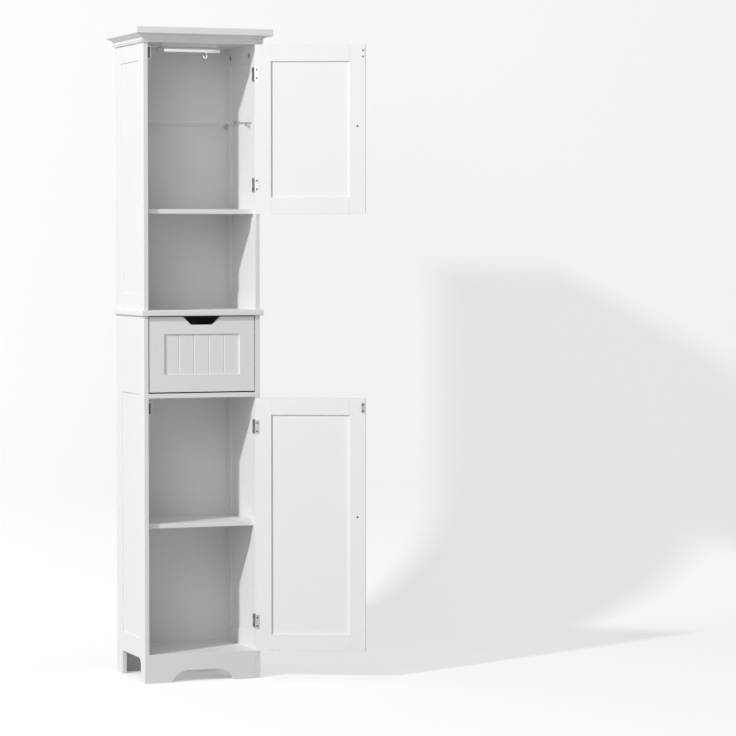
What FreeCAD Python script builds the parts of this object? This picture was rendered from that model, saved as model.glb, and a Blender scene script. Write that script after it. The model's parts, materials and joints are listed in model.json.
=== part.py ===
"""Tall painted bathroom cabinet with two doors, a drawer and an open niche.

Lengths are millimetres. +X is to the right of someone facing the cabinet, +Y is to the wall and +Z is up.
The origin is on the floor, in the middle of the rear kick rail. Both doors are placed open.
"""

import FreeCAD, Part
import math
import os
import Sketcher

# ---------------------------------------------------------------- driving dimensions
SIZES = {
    # carcass
    "carcass_width": 316,
    "carcass_depth": 257,
    "board": 12,
    "bottom_height": 62,
    "lower_shelf_height": 402,
    "divider_height": 741.5,
    "waist_height": 955,
    "waist_board": 15,
    "waist_side_overhang": 8,
    "waist_front_overhang": 11,
    "waist_round": 3,
    "fixed_shelf_height": 1220,
    "ceiling_height": 1664,
    "top_board": 18,
    "back_panel": 3,
    "back_setback": 9,
    "groove_depth": 5,
    "groove_clearance": 0.3,
    # framed sides
    "side_stile_front": 38,
    "side_stile_rear": 50,
    "side_recess": 3,
    "lower_side_bottom_rail": 52,
    "lower_side_top_rail": 204,
    "upper_side_bottom_rail": 42,
    "upper_side_top_rail": 48,
    "side_arch_front_round": 18,
    "side_arch_rear_round": 7,
    # plinth
    "plinth_arch_height": 30,
    "plinth_arch_flat": 77,
    "plinth_arch_round": 50,
    # crown
    "crown_board": 18,
    "crown_side_overhang": 27,
    "crown_front_overhang": 33,
    "crown_edge": 1.5,
    "moulding_drop": 2,
    "moulding_foot": 5.5,
    "moulding_bead": 5,
    "moulding_fillet": 1.5,
    "moulding_cove": 9,
    # glass shelf
    "glass_height": 1455,
    "glass": 5,
    "glass_front_setback": 20,
    "glass_rear_gap": 2,
    "glass_side_gap": 1,
    "glass_corner": 4,
    "pin_front": 52,
    "pin_rear": 25,
    "pin_radius": 2.5,
    "pin_depth": 4,
    "pin_ledge": 9,
    "pin_ledge_width": 10,
    "pin_ledge_height": 8,
    # cam locks
    "cam_radius": 7.5,
    "cam_depth": 9,
    "cam_below_ceiling": 28,
    "cam_front_setback": 52,
    "cam_rear_setback": 205,
    "cam_clearance": 0.1,
    "cam_slot_length": 8,
    "cam_slot_width": 1.6,
    "cam_slot_depth": 2,
    # bar under the ceiling
    "strip_length": 150,
    "strip_width": 16,
    "strip_height": 8,
    "bar_length": 172,
    "bar_width": 10,
    "bar_height": 14,
    "bar_setback": 80,
    "bar_offset": -9,
    "hook_offset": 44,
    "hook_wire": 4,
    "hook_bend": 7,
    "hook_drop": 16,
    # doors
    "door": 15,
    "door_hinge_gap": 2,
    "door_free_gap": 1,
    "lower_door_bottom_gap": 1.5,
    "lower_door_top_gap": 2.5,
    "upper_door_below_shelf": 0.5,
    "upper_door_top_gap": 3.5,
    "shelf_gap_behind_door": 1,
    "door_stile": 42,
    "door_rail": 44,
    "door_groove": 8,
    "door_panel": 5,
    "door_panel_setback": 5,
    "door_open_angle": 155,
    "panel_clearance": 0.2,
    # hinges
    "pin_side_offset": 1,
    "pin_front_offset": 3,
    "hinge_height": 37,
    "hinge_from_end": 76,
    "hinge_leaf": 0.8,
    "hinge_barrel_radius": 3,
    "hinge_pin_radius": 1.6,
    "hinge_pin_head_radius": 2.5,
    "hinge_running_fit": 0.1,
    "hinge_knuckle": 12,
    "hinge_knuckle_gap": 0.25,
    "hinge_wrap": 11,
    "hinge_side_leaf_reach": 24,
    "hinge_screw_pitch": 22,
    "hinge_screw_edge": 5,
    # small screws
    "screw_radius": 1.5,
    "screw_length": 8,
    "screw_head_radius": 2.8,
    "screw_head_height": 1,
    "hole_clearance": 0.1,
    # magnetic catches
    "catch_reach": 15,
    "catch_depth": 9,
    "catch_height": 33,
    "catch_slot": 2,
    "catch_edge": 1,
    "catch_from_top": 24.5,
    "catch_gap": 0.4,
    "strike_width": 9,
    "strike_height": 28,
    "strike_plate": 0.8,
    "strike_from_edge": 6.6,
    "strike_screw_pitch": 16,
    # knobs
    "knob_radius": 14,
    "knob_neck_radius": 6,
    "knob_neck_length": 7.5,
    "knob_length": 25,
    "knob_front_chamfer": 5,
    "knob_back_chamfer": 6,
    "knob_from_edge": 21,
    "upper_knob_above_middle": 8,
    "lower_knob_above_middle": 21,
    "knob_screw_radius": 2,
    "knob_screw_bite": 12,
    # drawer
    "drawer_front": 12,
    "drawer_setback": 2,
    "drawer_gap": 2.5,
    "drawer_lower_gap": 3.5,
    "drawer_stile": 41,
    "drawer_rail": 45,
    "drawer_rebate": 7,
    "drawer_recess": 4,
    "drawer_beadboard": 5,
    "grip_top_width": 102,
    "grip_bottom_width": 60,
    "grip_depth": 21,
    "grip_round": 8,
    "drawer_side": 12,
    "drawer_box_length": 205,
    "drawer_box_height": 130,
    "drawer_box_lift": 9,
    "drawer_bottom": 3,
    "drawer_bottom_lift": 8,
    # drawer runners
    "runner_space": 12.7,
    "runner_plate": 1,
    "runner_height": 35,
    "runner_length": 200,
    "runner_above_front": 30,
    "runner_play": 0.5,
    # beadboard
    "bead_boards": 5,
    "bead_groove_width": 3,
    "bead_groove_depth": 1.5,
}

doc = FreeCAD.newDocument("BathroomCabinet")
sheet = doc.addObject("Spreadsheet::Sheet", "Sizes")


class Length:
    """A number that remembers the sheet expression that gives it, so that features can be bound to it."""

    def __init__(self, value, text):
        self.value = value
        self.text = text

    def joined(self, sign, other, value):
        return Length(value, f"({self.text} {sign} {length(other).text})")

    def __add__(self, other):
        return self.joined("+", other, self.value + length(other).value)

    def __sub__(self, other):
        return self.joined("-", other, self.value - length(other).value)

    def __mul__(self, other):
        return self.joined("*", other, self.value * length(other).value)

    def __truediv__(self, other):
        return self.joined("/", other, self.value / length(other).value)

    def __radd__(self, other):
        return length(other) + self

    def __rsub__(self, other):
        return length(other) - self

    def __rmul__(self, other):
        return length(other) * self

    def __neg__(self):
        return Length(-self.value, f"(-1 * {self.text})")


def length(number):
    """A plain number as a Length; a Length stays as it is."""
    if isinstance(number, Length):
        return number
    return Length(float(number), f"({float(number)!r})")


class Sizes:
    """The driving dimensions, each as a Length bound to its cell."""


for row, (alias, number) in enumerate(SIZES.items(), start=1):
    sheet.set(f"A{row}", str(number))
    sheet.setAlias(f"A{row}", alias)
    setattr(Sizes, alias, Length(float(number), f"Sizes.{alias}"))
doc.recompute()

S = Sizes
ZERO = length(0)


# ---------------------------------------------------------------- modelling helpers
def bind(target, path, number):
    """Binds one property of an object to the sheet."""
    target.setExpression(path, length(number).text)


def body(label, at=(0, 0, 0), angle=None):
    """An empty body whose own origin lies at the point given, turned about +Z by a bound angle."""
    made = doc.addObject("PartDesign::Body", label)
    made.Label = label
    if angle is not None:
        turned = FreeCAD.Rotation(FreeCAD.Vector(0, 0, 1), angle.value)
        made.Placement = FreeCAD.Placement(FreeCAD.Vector(), turned)
        bind(made, "Placement.Rotation.Angle", angle)
    for axis, number in zip("xyz", at):
        bind(made, f"Placement.Base.{axis}", number)
    return made


def arc_geometry(start, end, radius):
    """The short arc between two points: anticlockwise for a positive radius, clockwise for a negative one."""
    run = math.dist(start, end)
    rise = math.sqrt(max(radius * radius - run * run / 4, 0.0))
    side = math.copysign(1, radius)
    across = ((start[1] - end[1]) / run, (end[0] - start[0]) / run)
    centre = [(start[k] + end[k]) / 2 + side * rise * across[k] for k in (0, 1)]
    angles = [math.atan2(point[1] - centre[1], point[0] - centre[0]) for point in (start, end)]
    if radius < 0:
        angles.reverse()
    if angles[1] < angles[0]:
        angles[1] += 2 * math.pi
    circle = Part.Circle(FreeCAD.Vector(*centre, 0), FreeCAD.Vector(0, 0, 1), abs(radius))
    return Part.ArcOfCircle(circle, *angles)


def fix_point(sketch, index, end, point):
    """Ties one end of a sketch element to two bound coordinates."""
    for kind, number in zip(("DistanceX", "DistanceY"), point):
        number = length(number)
        added = sketch.addConstraint(Sketcher.Constraint(kind, index, end, number.value))
        sketch.setExpression(f"Constraints[{added}]", number.text)


def draw_circle(sketch, x, y, radius):
    """One full circle."""
    centre = FreeCAD.Vector(length(x).value, length(y).value, 0)
    circle = Part.Circle(centre, FreeCAD.Vector(0, 0, 1), length(radius).value)
    index = sketch.addGeometry(circle)
    fix_point(sketch, index, 3, (x, y))
    added = sketch.addConstraint(Sketcher.Constraint("Radius", index, length(radius).value))
    sketch.setExpression(f"Constraints[{added}]", length(radius).text)


def draw_outline(sketch, corners):
    """One closed outline. A corner (x, y) ends a line; a corner (x, y, radius) ends an arc."""
    ends = []
    for number, corner in enumerate(corners):
        before = [length(v).value for v in corners[number - 1][:2]]
        here = [length(v).value for v in corner[:2]]
        if len(corner) == 2:
            geometry = Part.LineSegment(FreeCAD.Vector(*before, 0), FreeCAD.Vector(*here, 0))
            index = sketch.addGeometry(geometry)
            ends.append((index, 1, 2))
            continue
        radius = corner[2]
        index = sketch.addGeometry(arc_geometry(before, here, radius.value))
        ends.append((index, 1, 2) if radius.value > 0 else (index, 2, 1))
        added = sketch.addConstraint(Sketcher.Constraint("Radius", index, abs(radius.value)))
        sketch.setExpression(f"Constraints[{added}]", f"abs({radius.text})")
    for number, (index, first, last) in enumerate(ends):
        before_index, _, before_last = ends[number - 1]
        sketch.addConstraint(Sketcher.Constraint("Coincident", index, first, before_index, before_last))
        fix_point(sketch, index, last, corners[number][:2])


def sketch_on(owner, plane, outlines, level=ZERO):
    """A sketch on one of the body's own origin planes, moved along that plane's axis to a level."""
    sketch = owner.newObject("Sketcher::SketchObject", f"{owner.Name}_outline")
    face = next(f for f in owner.Origin.OriginFeatures if f.Role == f"{plane}_Plane")
    sketch.AttachmentSupport = [(face, "")]
    sketch.MapMode = "FlatFace"
    if plane == "XZ":  # this plane's normal points to -Y
        level = -level
    bind(sketch, "AttachmentOffset.Base.z", level)
    for outline in outlines:
        if outline[0] == "circle":
            draw_circle(sketch, *outline[1:])
        else:
            draw_outline(sketch, outline)
    return sketch


def slab(owner, kind, plane, outlines, low, high):
    """Pads or pockets the outlines between two levels along the plane's axis."""
    low, high = length(low), length(high)
    feature = owner.newObject(f"PartDesign::{kind}", f"{owner.Name}_{kind.lower()}")
    feature.Profile = sketch_on(owner, plane, outlines, (low + high) / 2)
    feature.SideType = "Symmetric"
    bind(feature, "Length", high - low)
    return feature


def pad(owner, plane, outlines, low, high):
    """Adds material between two levels."""
    return slab(owner, "Pad", plane, outlines, low, high)


def cut(owner, plane, outlines, low, high):
    """Removes material between two levels and makes sure that some was there."""
    doc.recompute()
    before = owner.Shape.Volume
    feature = slab(owner, "Pocket", plane, outlines, low, high)
    doc.recompute()
    if not owner.Shape.Volume < before:
        raise RuntimeError(f"{owner.Label}: a pocket removed nothing")
    return feature


def edges_where(owner, test):
    """Names of the body's edges whose middle point passes a test."""
    doc.recompute()
    names = []
    for number, edge in enumerate(owner.Shape.Edges, start=1):
        local = owner.Placement.inverse().multVec(edge.CenterOfMass)
        if test(edge, local):
            names.append(f"Edge{number}")
    return names


def ease(owner, kind, amount, test):
    """Fillets or chamfers the edges that pass a test."""
    tip = owner.Tip
    names = edges_where(owner, test)
    feature = owner.newObject(f"PartDesign::{kind}", f"{owner.Name}_{kind.lower()}")
    feature.Base = (tip, names)
    bind(feature, "Radius" if kind == "Fillet" else "Size", amount)
    return feature


TURNED_SIDES = 32


def many_sided(x, y, radius, sides=12):
    """Outline of a small turned part: a regular polygon round a centre."""
    corners = []
    for number in range(sides):
        angle = (number + 0.5) * 2 * math.pi / sides
        corners.append((x + radius * math.cos(angle), y + radius * math.sin(angle)))
    return corners


def rectangle(x0, y0, x1, y1):
    """Outline of a rectangle between two corners."""
    return [(x0, y0), (x1, y0), (x1, y1), (x0, y1)]


def board(label, corner, extent, angle=None):
    """A plain rectangular board, its lowest corner at a point."""
    made = body(label, corner, angle)
    pad(made, "XY", [rectangle(0, 0, extent[0], extent[1])], 0, extent[2])
    return made


def group(label, members):
    """Several equal pieces that share one node."""
    made = doc.addObject("Part::Compound", label)
    made.Label = label
    made.Links = members
    return made


# ---------------------------------------------------------------- places worked out from the sizes
back_y = S.board / 2
front_y = back_y - S.carcass_depth
half_width = S.carcass_width / 2
inner_x = half_width - S.board
inner_width = inner_x * 2
back_face_y = back_y - S.back_setback - S.back_panel
upper_base = S.waist_height + S.waist_board
bottom_top = S.bottom_height + S.board
shelf_front_y = front_y + S.door + S.shelf_gap_behind_door
window_front_y = front_y + S.side_stile_front
window_rear_y = back_y - S.side_stile_rear
panel_half = S.board / 2 - S.side_recess
crown_base = S.ceiling_height + S.top_board

hinge_x = inner_x - S.pin_side_offset
hinge_y = front_y - S.pin_front_offset
door_edge = -(S.door_hinge_gap - S.pin_side_offset)
door_width = inner_width - S.door_hinge_gap - S.door_free_gap
door_free = door_edge - door_width
door_outer = S.pin_front_offset
door_inner = S.pin_front_offset + S.door

# lowest and highest edge of each door
DOORS = {
    "lower": (bottom_top + S.lower_door_bottom_gap, S.divider_height - S.lower_door_top_gap),
    "upper": (S.fixed_shelf_height - S.upper_door_below_shelf, S.ceiling_height - S.upper_door_top_gap),
}


def hinge_heights(which):
    """Centres of a door's two hinges."""
    low, high = DOORS[which]
    return [low + S.hinge_from_end, high - S.hinge_from_end]


def knob_height(which):
    """Height of a door's knob, a little above the door's middle."""
    low, high = DOORS[which]
    above = {"lower": S.lower_knob_above_middle, "upper": S.upper_knob_above_middle}[which]
    return (low + high) / 2 + above


def strike_height(which):
    """Centre of a door's strike plate and of the catch that meets it."""
    return DOORS[which][1] - S.catch_from_top


strike_x = door_free + S.strike_from_edge
leaf_screw_y = front_y + S.hinge_side_leaf_reach - S.hinge_screw_edge
catch_front_y = hinge_y + door_inner + S.strike_plate + S.screw_head_height + S.catch_gap


def span(one, other):
    """Two levels in rising order."""
    return sorted((one, other), key=lambda level: level.value)


def pair(centre, pitch):
    """Two places either side of a centre."""
    return [centre - pitch / 2, centre + pitch / 2]


# ---------------------------------------------------------------- carcass
def side_outline(section):
    """Outline of a side in the YZ plane; the lower one stands on two feet."""
    if section == "upper":
        return rectangle(front_y, upper_base, back_y, S.ceiling_height)
    top = S.bottom_height
    front_round = S.side_arch_front_round
    rear_round = S.side_arch_rear_round
    return [
        (front_y, 0),
        (window_front_y, 0),
        (window_front_y, top - front_round),
        (window_front_y + front_round, top, -front_round),
        (window_rear_y - rear_round, top),
        (window_rear_y, top - rear_round, -rear_round),
        (window_rear_y, 0),
        (back_y, 0),
        (back_y, S.waist_height),
        (front_y, S.waist_height),
    ]


def side_window(section, reach=ZERO):
    """Window of a side's frame, or with a reach the groove round it."""
    if section == "lower":
        low = S.bottom_height + S.lower_side_bottom_rail
        high = S.waist_height - S.lower_side_top_rail
    else:
        low = upper_base + S.upper_side_bottom_rail
        high = S.ceiling_height - S.upper_side_top_rail
    return rectangle(window_front_y - reach, low - reach, window_rear_y + reach, high + reach)


def blind_holes(owner, outlines, face, inward, depth):
    """Blind holes in a side's inner face; inward is +1 where they run to +X and -1 where they run to -X."""
    cut(owner, "YZ", outlines, *span(face - depth * inward, face + depth * inward))


def side(hand, section):
    """One framed side: a frame, and a thin panel held in a groove round its window."""
    name = f"{section}_{'right' if hand > 0 else 'left'}_side"
    middle = (half_width - S.board / 2) * hand
    inner_face = -S.board / 2 * hand
    frame = body(f"{name}_frame", (middle, 0, 0))
    pad(frame, "YZ", [side_outline(section)], -S.board / 2, S.board / 2)
    cut(frame, "YZ", [side_window(section)], -S.board, S.board)
    cut(frame, "YZ", [side_window(section, S.groove_depth)], -panel_half, panel_half)

    low, high = (bottom_top, S.waist_height) if section == "lower" else (upper_base, S.ceiling_height)
    groove = rectangle(back_face_y, low, back_face_y + S.back_panel + S.groove_clearance, high)
    blind_holes(frame, [groove], inner_face, hand, S.groove_depth)

    panel = body(f"{name}_panel", (middle, 0, 0))
    thin = panel_half - S.panel_clearance / 2
    pad(panel, "YZ", [side_window(section, S.groove_depth - S.panel_clearance)], -thin, thin)

    if section == "upper":
        height = S.ceiling_height - S.cam_below_ceiling
        radius = S.cam_radius + S.cam_clearance
        cams = [("circle", front_y + y, height, radius) for y in (S.cam_front_setback, S.cam_rear_setback)]
        blind_holes(frame, cams, inner_face, hand, S.cam_depth)
        radius = S.pin_radius + S.hole_clearance
        hole = many_sided(front_y + S.pin_front, pin_height(), radius)
        blind_holes(panel, [hole], -thin * hand, hand, S.pin_depth)
        hole = many_sided(back_y - S.pin_rear, pin_height(), radius)
        blind_holes(frame, [hole], inner_face, hand, S.pin_depth)
    if hand > 0:
        radius = S.screw_radius + S.hole_clearance
        heights = [z for centre in hinge_heights(section) for z in pair(centre, S.hinge_screw_pitch)]
        holes = [many_sided(leaf_screw_y, z, radius) for z in heights]
        blind_holes(frame, holes, inner_face, hand, S.screw_length)


def pin_height():
    """Centre of the shelf pins' pegs."""
    return S.glass_height - S.pin_ledge_height / 2


def plinth_board():
    """Toe board with a flat-topped arch between its two feet."""
    made = body("plinth_board", (0, front_y, 0))
    flat = S.plinth_arch_flat / 2
    height = S.plinth_arch_height
    radius = S.plinth_arch_round
    drop = (radius.value - height.value) / radius.value
    spread = radius * math.sqrt(1 - drop * drop)
    outline = [
        (-inner_x, 0),
        (-flat - spread, 0),
        (-flat, height, -radius),
        (flat, height),
        (flat + spread, 0, -radius),
        (inner_x, 0),
        (inner_x, bottom_top),
        (-inner_x, bottom_top),
    ]
    pad(made, "XZ", [outline], 0, S.board)


def shelves():
    """Every board that lies flat inside the carcass, and the two boards that stand at its back."""
    full_depth = back_face_y - front_y
    shelf_depth = back_face_y - shelf_front_y
    board(
        "bottom_board",
        (-inner_x, front_y + S.board, S.bottom_height),
        (inner_width, full_depth - S.board, S.board),
    )
    board("lower_shelf", (-inner_x, shelf_front_y, S.lower_shelf_height), (inner_width, shelf_depth, S.board))
    board("divider_board", (-inner_x, front_y, S.divider_height), (inner_width, full_depth, S.board))
    board("fixed_shelf", (-inner_x, shelf_front_y, S.fixed_shelf_height), (inner_width, shelf_depth, S.board))
    board("rear_kick_rail", (-inner_x, -S.board / 2, 0), (inner_width, S.board, bottom_top))
    reach = inner_x + S.groove_depth - S.groove_clearance
    for name, low, high in (
        ("lower_back_panel", bottom_top, S.waist_height),
        ("upper_back_panel", upper_base, S.ceiling_height),
    ):
        board(name, (-reach, back_face_y, low), (reach * 2, S.back_panel, high - low))


def overhanging(edge, middle):
    """Whether an edge of a board that overhangs the carcass runs along its front or a side."""
    level = edge.BoundBox.ZLength < 0.01
    return level and middle.y < S.carcass_depth.value - 1


def waist_board():
    """Thicker board between the two halves, with a softened edge on the three sides that overhang."""
    half = half_width + S.waist_side_overhang
    front = S.waist_front_overhang
    made = body("waist_board", (0, front_y, S.waist_height))
    pad(made, "XY", [rectangle(-half, -front, half, S.carcass_depth)], 0, S.waist_board)

    ease(made, "Fillet", S.waist_round, overhanging)


def top_boards():
    """Ceiling board on the sides, and the wide crown board above it."""
    extent = (S.carcass_width, S.carcass_depth, S.top_board)
    board("top_panel", (-half_width, front_y, S.ceiling_height), extent)
    half = half_width + S.crown_side_overhang
    made = body("crown_board", (0, front_y, crown_base))
    outline = rectangle(-half, -S.crown_front_overhang, half, S.carcass_depth)
    pad(made, "XY", [outline], 0, S.crown_board)

    ease(made, "Chamfer", S.crown_edge, overhanging)


# ---------------------------------------------------------------- crown moulding
moulding_foot_z = S.ceiling_height - S.moulding_drop
moulding_width = S.moulding_foot + S.moulding_bead - S.moulding_fillet + S.moulding_cove
moulding_height = crown_base - moulding_foot_z


def moulding_section():
    """Half-round bead, a small fillet above it and a concave cove, as (outward, upward) corners."""
    foot, bead = S.moulding_foot, S.moulding_bead
    neck = foot + bead - S.moulding_fillet
    cove_base = moulding_height - S.moulding_cove - S.moulding_fillet
    lip = moulding_height - S.moulding_fillet
    return [
        (ZERO, moulding_height),
        (ZERO, ZERO),
        (foot, ZERO),
        (foot + bead, bead, bead),
        (foot + bead, cove_base),
        (neck, cove_base),
        (neck + S.moulding_cove, lip, -S.moulding_cove),
        (neck + S.moulding_cove, moulding_height),
    ]


def facing(section, hand):
    """A section as it is, or mirrored for the other hand."""
    return [(corner[0] * hand, corner[1], *(radius * hand for radius in corner[2:])) for corner in section]


def crown_mouldings():
    """Three lengths of one section, mitred at the front corners."""
    reach = moulding_width
    end = half_width + reach
    front = body("crown_moulding_front", (0, front_y, moulding_foot_z))
    pad(front, "YZ", [facing(moulding_section(), -1)], -end, end)
    for hand in (-1, 1):
        mitre = [(half_width * hand, ZERO), (end * hand, ZERO), (end * hand, -reach)]
        cut(front, "XY", [mitre], -1, moulding_height + 1)
    for hand, name in ((-1, "left"), (1, "right")):
        made = body(f"crown_moulding_{name}", (half_width * hand, front_y, moulding_foot_z))
        pad(made, "XZ", [facing(moulding_section(), hand)], -reach, S.carcass_depth)
        mitre = [(ZERO, ZERO), (ZERO, -reach), (reach * hand, -reach)]
        cut(made, "XY", [mitre], -1, moulding_height + 1)


# ---------------------------------------------------------------- fittings inside the upper half
def glass_shelf():
    """Loose glass shelf with rounded corners."""
    half = inner_x - S.glass_side_gap
    depth = back_face_y - S.glass_rear_gap - front_y - S.glass_front_setback
    made = body("glass_shelf", (0, front_y + S.glass_front_setback, S.glass_height))
    pad(made, "XY", [rectangle(-half, 0, half, depth)], 0, S.glass)
    ease(made, "Fillet", S.glass_corner, lambda edge, middle: edge.BoundBox.ZLength > S.glass.value / 2)


def shelf_pin(label, hand, y, face):
    """Shelf support: a peg in the side, and a ledge under the glass that stands on the side's face."""
    made = body(label, (face * hand, y, S.glass_height))
    half = S.pin_ledge_width / 2
    reach = S.pin_ledge + face - inner_x
    block = [
        (ZERO, ZERO),
        (ZERO, -S.pin_ledge_height),
        (-S.pin_ledge_height / 4 * hand, -S.pin_ledge_height),
        (-reach * hand, -S.pin_ledge_height / 3),
        (-reach * hand, ZERO),
    ]
    pad(made, "XZ", [block], -half, half)
    peg = many_sided(ZERO, -S.pin_ledge_height / 2, S.pin_radius)
    pad(made, "YZ", [peg], *span(ZERO, (S.pin_depth - S.hole_clearance) * hand))
    return made


def glass_shelf_pins():
    """Four shelf supports: the front pair stands in the recessed panels, the rear pair in the stiles."""
    recessed = half_width - S.board / 2 - panel_half + S.panel_clearance / 2
    pins = []
    for hand in (-1, 1):
        pins.append(shelf_pin(f"pin_front_{hand + 1}", hand, front_y + S.pin_front, recessed))
        pins.append(shelf_pin(f"pin_rear_{hand + 1}", hand, back_y - S.pin_rear, inner_x))
    group("glass_shelf_pins", pins)


def cam_locks():
    """Cams of the knock-down fittings, flush in the inner faces of the upper sides."""
    cams = []
    height = S.ceiling_height - S.cam_below_ceiling
    for hand in (-1, 1):
        for number, y in enumerate((S.cam_front_setback, S.cam_rear_setback)):
            made = body(f"cam_{hand + 1}_{number}", (inner_x * hand, front_y + y, height))
            deep = (S.cam_depth - S.cam_clearance) * hand
            pad(made, "YZ", [("circle", 0, 0, S.cam_radius)], *span(ZERO, deep))
            half, thin = S.cam_slot_length / 2, S.cam_slot_width / 2
            for slot in (rectangle(-half, -thin, half, thin), rectangle(-thin, -half, thin, half)):
                cut(made, "YZ", [slot], *span(-S.cam_slot_depth * hand, S.cam_slot_depth * hand))
            cams.append(made)
    group("cam_locks", cams)


def ceiling_bar():
    """Bar hung from a strip under the ceiling, with a small hook below it."""
    front = front_y + S.bar_setback
    strip_base = S.ceiling_height - S.strip_height
    board(
        "ceiling_strip",
        (S.bar_offset - S.strip_length / 2, front + (S.bar_width - S.strip_width) / 2, strip_base),
        (S.strip_length, S.strip_width, S.strip_height),
    )
    made = body("ceiling_bar", (0, front, strip_base))
    left = S.bar_offset - S.bar_length / 2
    low = -S.bar_height
    pad(made, "XY", [rectangle(left, 0, left + S.bar_length, S.bar_width)], low, 0)
    x, bend, wire = S.hook_offset, S.hook_bend, S.hook_wire
    turn = low - S.hook_drop + bend
    middle = x - bend
    tip = middle - bend
    hook = [
        (x, low),
        (x, turn),
        (middle, turn - bend, -bend),
        (tip, turn, -bend),
        (tip, turn + wire),
        (tip + wire, turn + wire),
        (tip + wire, turn),
        (middle, turn - bend + wire, bend - wire),
        (x - wire, turn, bend - wire),
        (x - wire, low),
    ]
    hook_front = (S.bar_width - wire) / 2
    pad(made, "XZ", [hook], hook_front, hook_front + wire)


# ---------------------------------------------------------------- screws
def screw(label, at, angle, radius=S.screw_radius, grip=S.screw_length):
    """Screw with a low head. It stands on a surface at a point; its head looks to +Y, turned by the angle."""
    made = body(label, at, length(angle))
    pad(made, "XZ", [many_sided(ZERO, ZERO, S.screw_head_radius)], 0, S.screw_head_height)
    pad(made, "XZ", [many_sided(ZERO, ZERO, radius)], -grip, 0)
    return made


# ---------------------------------------------------------------- hinges
knuckle_low = -S.hinge_knuckle / 2
knuckle_high = S.hinge_knuckle / 2
barrel_bore = S.hinge_pin_radius + S.hinge_running_fit
leaf_start = S.hinge_barrel_radius * 0.73


def knuckle(owner, low, high):
    """One knuckle of a hinge's barrel, bored for the pin."""
    ring = [("circle", 0, 0, S.hinge_barrel_radius), ("circle", 0, 0, barrel_bore)]
    pad(owner, "XY", ring, low, high)


def hinge_side_leaf(label, height):
    """Flat leaf on the side's inner face, with the top and bottom knuckles."""
    made = body(label, (hinge_x, hinge_y, height))
    half = S.hinge_height / 2
    gap = S.hinge_knuckle_gap / 2
    face = S.pin_side_offset
    reach = S.pin_front_offset + S.hinge_side_leaf_reach
    clear = S.hinge_barrel_radius + S.hinge_running_fit
    outline = [
        (leaf_start, -half),
        (reach, -half),
        (reach, half),
        (leaf_start, half),
        (leaf_start, knuckle_high + gap),
        (clear, knuckle_high + gap),
        (clear, knuckle_low - gap),
        (leaf_start, knuckle_low - gap),
    ]
    pad(made, "YZ", [outline], face - S.hinge_leaf, face)
    knuckle(made, -half, knuckle_low - gap)
    knuckle(made, knuckle_high + gap, half)
    y = reach - S.hinge_screw_edge
    radius = S.screw_radius + S.hole_clearance
    holes = [many_sided(y, z, radius) for z in pair(ZERO, S.hinge_screw_pitch)]
    cut(made, "YZ", holes, 0, face * 2)
    return made


def hinge_door_leaf(label, height):
    """Leaf that runs along the door's edge and wraps on to its inner face, with the middle knuckle."""
    made = body(label, (hinge_x, hinge_y, height), S.door_open_angle)
    half = S.hinge_height / 2
    gap = S.hinge_knuckle_gap / 2
    near = door_edge + S.hinge_leaf
    far = door_edge - S.hinge_wrap
    clear = S.hinge_barrel_radius + S.hinge_running_fit
    outer = door_inner + S.hinge_leaf
    pad(made, "XY", [rectangle(door_edge, clear, near, outer)], -half, half)
    pad(made, "XY", [rectangle(far, door_inner, near, outer)], -half, half)
    pad(made, "XY", [rectangle(door_edge, leaf_start, near, outer)], knuckle_low + gap, knuckle_high - gap)
    knuckle(made, knuckle_low + gap, knuckle_high - gap)
    radius = S.screw_radius + S.hole_clearance
    x = door_edge - S.hinge_screw_edge
    holes = [many_sided(x, z, radius) for z in pair(ZERO, S.hinge_screw_pitch)]
    cut(made, "XZ", holes, door_inner - S.hinge_leaf, outer + S.hinge_leaf)
    return made


def hinge_pin(label, height):
    """Pin with a low head above and below the barrel."""
    made = body(label, (hinge_x, hinge_y, height))
    half = S.hinge_height / 2 + S.hinge_running_fit
    pad(made, "XY", [("circle", 0, 0, S.hinge_pin_radius)], -half, half)
    head = [many_sided(ZERO, ZERO, S.hinge_pin_head_radius)]
    pad(made, "XY", head, -half - S.hinge_leaf, -half)
    pad(made, "XY", head, half, half + S.hinge_leaf)
    return made


def cabinet_hinge_parts():
    """Side leaves, pins and the screws that hold the side leaves."""
    leaves = []
    pins = []
    screws = []
    for which in DOORS:
        for number, height in enumerate(hinge_heights(which)):
            tag = f"{which}_{number}"
            leaves.append(hinge_side_leaf(f"side_leaf_{tag}", height))
            pins.append(hinge_pin(f"hinge_pin_{tag}", height))
            for end, z in enumerate(pair(height, S.hinge_screw_pitch)):
                at = (inner_x - S.hinge_leaf, leaf_screw_y, z)
                screws.append(screw(f"side_screw_{tag}_{end}", at, 90))
    group("hinge_side_leaves", leaves)
    group("hinge_pins", pins)
    group("hinge_side_screws", screws)


def magnetic_catches():
    """Magnetic catches on the left side, behind the free edge of each closed door."""
    catches = []
    for which in DOORS:
        made = body(f"catch_{which}", (-inner_x, catch_front_y, strike_height(which)))
        half = S.catch_height / 2
        pad(made, "XY", [rectangle(0, 0, S.catch_reach, S.catch_depth)], -half, half)
        slot = S.catch_slot / 2
        inset = S.catch_height / 6
        magnet = rectangle(S.catch_reach / 2 - slot, -half + inset, S.catch_reach / 2 + slot, half - inset)
        cut(made, "XZ", [magnet], -1, S.catch_slot / 2)
        ease(
            made,
            "Chamfer",
            S.catch_edge,
            lambda edge, middle: edge.BoundBox.YLength > S.catch_depth.value * 0.8 and middle.x > 1,
        )
        catches.append(made)
    group("magnetic_catches", catches)


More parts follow.
